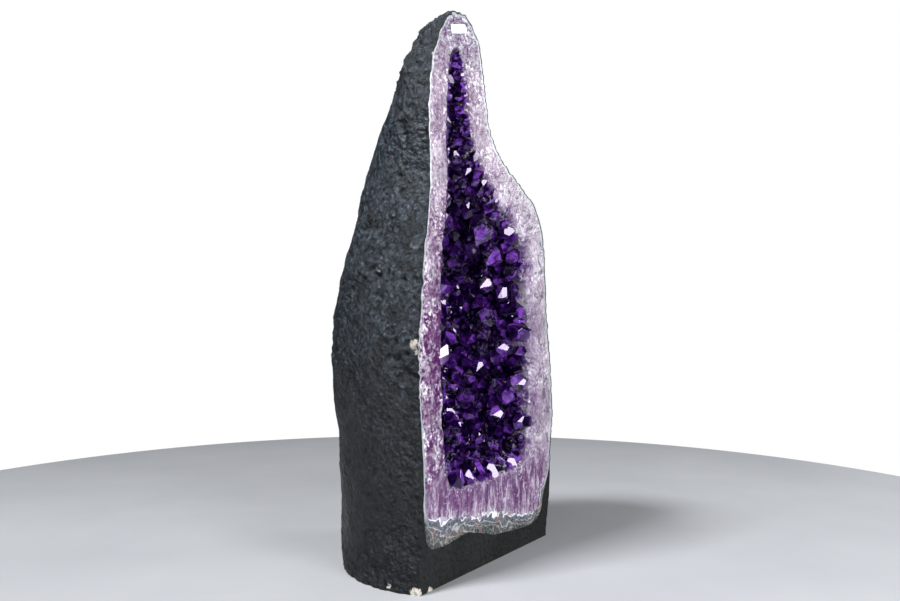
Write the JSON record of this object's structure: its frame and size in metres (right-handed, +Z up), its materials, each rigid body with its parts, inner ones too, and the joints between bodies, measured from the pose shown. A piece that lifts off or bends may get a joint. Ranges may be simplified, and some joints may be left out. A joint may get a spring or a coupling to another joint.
{
  "type": "amethyst geode",
  "caption": "Tall half nodule of amethyst standing on a flat sawn foot, its sawn front open on a deep cavity lined with purple crystals; a natural ornament.",
  "frame": {"origin": "middle of the object's box in plan, at the floor, on the underside of the sawn foot", "axes": "+Z up along the geode's height, +Y from the sawn front towards the rounded back, so the sawn front and its cavity face -Y"},
  "size_m": [0.4612, 0.2862, 0.9058],
  "materials": {
    "basalt": "rough dark grey-green rock skin with a satin coat",
    "agate": "polished banded white to grey agate",
    "quartz": "polished milky to lilac quartz",
    "amethyst_crust": "glossy deep violet crystal crust",
    "amethyst_crystal": "glossy deep violet natural crystal faces",
    "label_paper": "matt white paper"
  },
  "bodies": {
    "root": {"basalt_shell": "basalt", "agate_lining": "agate", "quartz_band": "quartz", "amethyst_crust": "amethyst_crust", "crystal_01": "amethyst_crystal", "crystal_02": "amethyst_crystal", "crystal_03": "amethyst_crystal", "crystal_04": "amethyst_crystal", "crystal_05": "amethyst_crystal", "crystal_06": "amethyst_crystal", "crystal_07": "amethyst_crystal", "crystal_08": "amethyst_crystal", "crystal_09": "amethyst_crystal", "crystal_10": "amethyst_crystal", "crystal_11": "amethyst_crystal", "crystal_12": "amethyst_crystal", "crystal_13": "amethyst_crystal", "crystal_14": "amethyst_crystal", "crystal_15": "amethyst_crystal", "crystal_16": "amethyst_crystal", "crystal_17": "amethyst_crystal", "crystal_18": "amethyst_crystal", "crystal_19": "amethyst_crystal", "crystal_20": "amethyst_crystal", "crystal_21": "amethyst_crystal", "crystal_22": "amethyst_crystal", "crystal_23": "amethyst_crystal", "crystal_24": "amethyst_crystal", "crystal_25": "amethyst_crystal", "crystal_26": "amethyst_crystal", "crystal_27": "amethyst_crystal", "crystal_28": "amethyst_crystal", "crystal_29": "amethyst_crystal", "crystal_30": "amethyst_crystal", "crystal_31": "amethyst_crystal", "crystal_32": "amethyst_crystal", "crystal_33": "amethyst_crystal", "crystal_34": "amethyst_crystal", "crystal_35": "amethyst_crystal", "crystal_36": "amethyst_crystal", "crystal_37": "amethyst_crystal", "crystal_38": "amethyst_crystal", "crystal_39": "amethyst_crystal", "crystal_40": "amethyst_crystal", "crystal_41": "amethyst_crystal", "crystal_42": "amethyst_crystal", "crystal_43": "amethyst_crystal", "crystal_44": "amethyst_crystal", "crystal_45": "amethyst_crystal", "crystal_46": "amethyst_crystal", "crystal_47": "amethyst_crystal", "crystal_48": "amethyst_crystal", "crystal_49": "amethyst_crystal", "crystal_50": "amethyst_crystal", "paper_label": "label_paper"}
  },
  "joints": []
}
